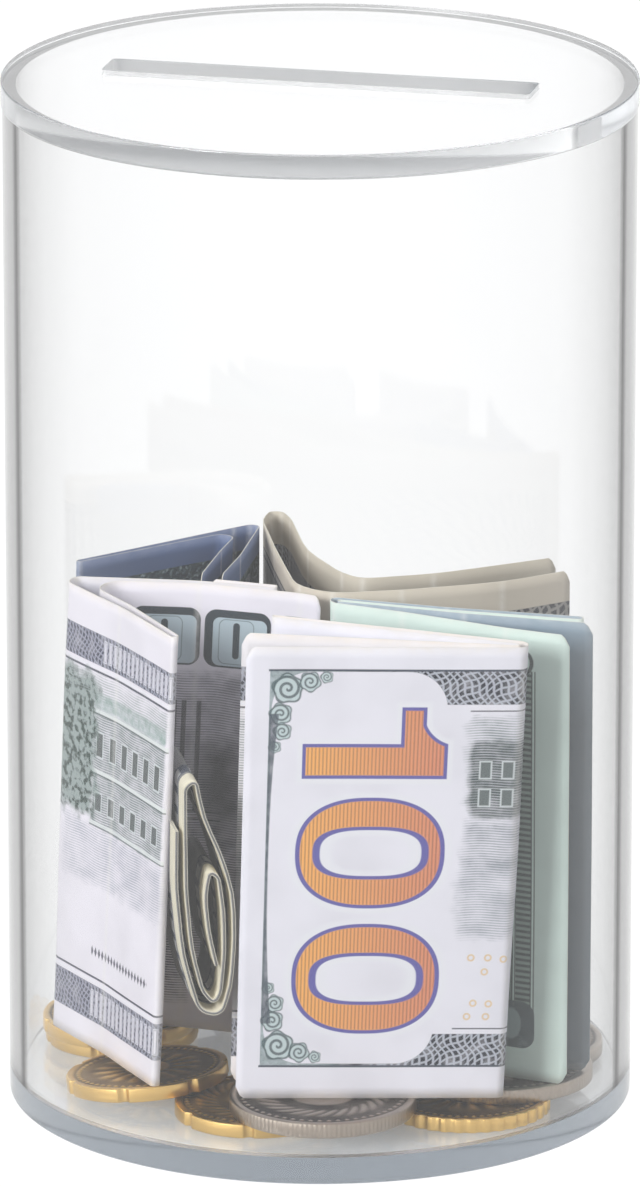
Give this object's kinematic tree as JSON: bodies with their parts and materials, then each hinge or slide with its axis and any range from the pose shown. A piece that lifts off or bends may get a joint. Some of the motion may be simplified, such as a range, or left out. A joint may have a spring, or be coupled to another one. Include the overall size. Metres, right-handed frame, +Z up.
{
  "type": "money jar",
  "caption": "Clear cylindrical acrylic savings jar: bonded side tube, slotted lid and base disc, with loose coins and folded play-money notes standing inside.",
  "frame": {"origin": "centre of the base disc's underside", "axes": "+Z up along the tube's axis; the money slot runs along X"},
  "size_m": [0.0904, 0.0904, 0.15],
  "materials": {
    "clear_acrylic": "clear cast acrylic, flame-polished edges",
    "brass_coin": "circulated yellow brass, struck relief",
    "silver_coin": "circulated cupronickel, struck relief",
    "note_lilac": "printed cotton paper, lilac ground with orange numerals",
    "note_green": "printed cotton paper, pale green ground",
    "note_cream": "printed cotton paper, cream ground",
    "note_grey": "printed cotton paper, grey-white ground",
    "note_blue": "printed cotton paper, blue-grey ground",
    "note_cream_dark": "printed cotton paper, dark grey-green print"
  },
  "bodies": {
    "root": {"base_disc": "clear_acrylic", "side_tube": "clear_acrylic", "slotted_lid": "clear_acrylic", "coin_left_lower": "brass_coin", "coin_left_upper": "brass_coin", "coin_front_left": "brass_coin", "coin_front_inner": "brass_coin", "coin_front_right": "brass_coin", "coin_back_upper": "brass_coin", "coin_front_centre": "silver_coin", "coin_right_upper": "silver_coin", "coin_right_lower": "silver_coin", "coin_back_lower": "silver_coin", "note_front": "note_lilac", "note_right": "note_green", "note_back": "note_cream", "note_left": "note_grey", "note_far_left": "note_blue", "note_curl": "note_cream_dark"}
  },
  "joints": []
}
